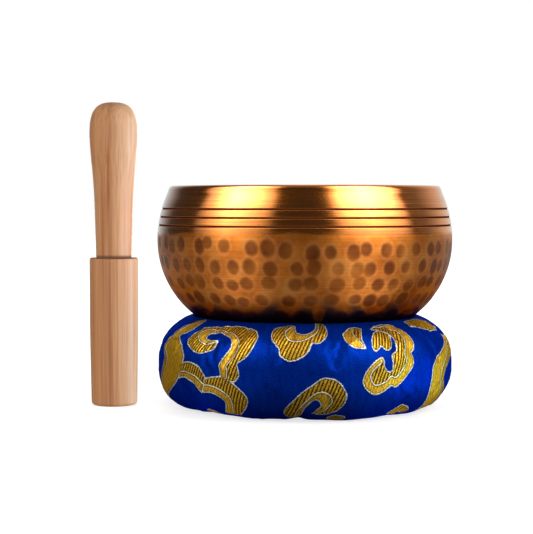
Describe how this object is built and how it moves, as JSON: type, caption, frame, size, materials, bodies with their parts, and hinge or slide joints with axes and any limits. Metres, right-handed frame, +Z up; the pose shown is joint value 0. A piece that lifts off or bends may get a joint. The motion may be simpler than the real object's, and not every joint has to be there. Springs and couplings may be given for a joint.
{
  "type": "singing bowl",
  "caption": "Hammered metal singing bowl with a turned band and grooves, on a stuffed brocade ring cushion, with a turned wooden mallet.",
  "frame": {"origin": "centre of the ring cushion's underside, on the surface that the cushion and the mallet stand on, on the bowl's axis", "axes": "+Z up along the bowl's axis; the mallet stands on the -X side; the front is -Y, and the cushion's sewn join is at the back, on the +Y side"},
  "size_m": [0.1479, 0.1206, 0.1235],
  "materials": {
    "brocade": "blue satin brocade with gold weft motifs",
    "cotton_wadding": "loose cotton wadding",
    "sewing_thread": "twisted polyester sewing thread",
    "hammered_bronze": "hammered and oxidised below, lathe brushed at the rim",
    "turned_wood": "turned, sanded, unlacquered hardwood"
  },
  "bodies": {
    "cushion": {"cushion_cover": "brocade", "stuffing": "cotton_wadding", "closing_stitches": "sewing_thread", "join_stitches": "sewing_thread"},
    "bowl": {"bowl": "hammered_bronze"},
    "mallet": {"mallet": "turned_wood"}
  },
  "joints": [
    {"name": "bowl_lift", "type": "slide", "parent": "cushion", "child": "bowl", "axis": [0, 0, 1], "range_m": [0, 0.11]},
    {"name": "mallet_lift", "type": "slide", "parent": "cushion", "child": "mallet", "axis": [0, 0, 1], "range_m": [0, 0.11]}
  ]
}
